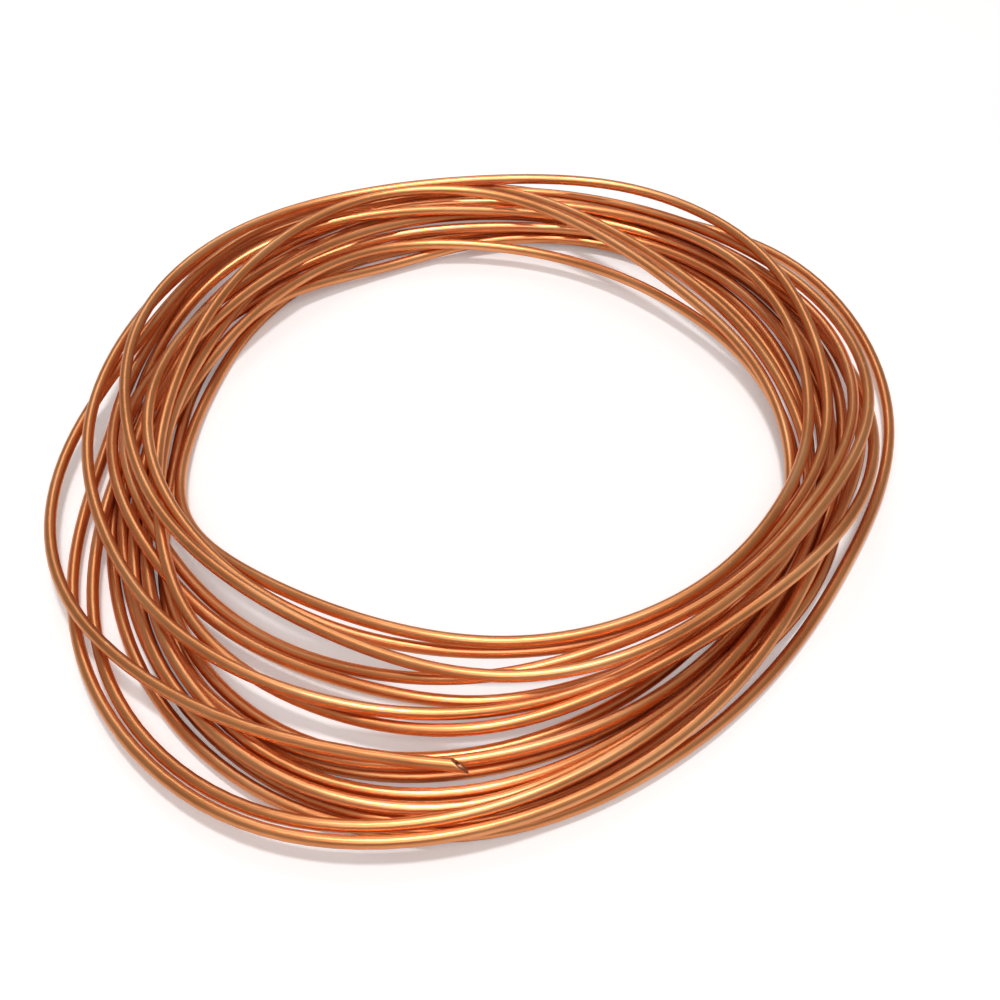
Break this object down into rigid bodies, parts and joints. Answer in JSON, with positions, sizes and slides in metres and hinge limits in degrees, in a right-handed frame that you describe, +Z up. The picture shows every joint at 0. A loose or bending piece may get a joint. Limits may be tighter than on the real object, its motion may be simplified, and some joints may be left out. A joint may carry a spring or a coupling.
{
  "type": "copper tube coil",
  "caption": "Loose open coil of thin soft copper tube, lying flat, one continuous tube with plain cut ends.",
  "frame": {"origin": "on the floor, in the middle of the box round the coil", "axes": "+Z up, the coil's front towards -Y, its free end at the front on top"},
  "size_m": [0.2374, 0.261, 0.0207],
  "materials": {
    "copper": "satin"
  },
  "bodies": {
    "root": {"copper_tube": "copper"}
  },
  "joints": []
}
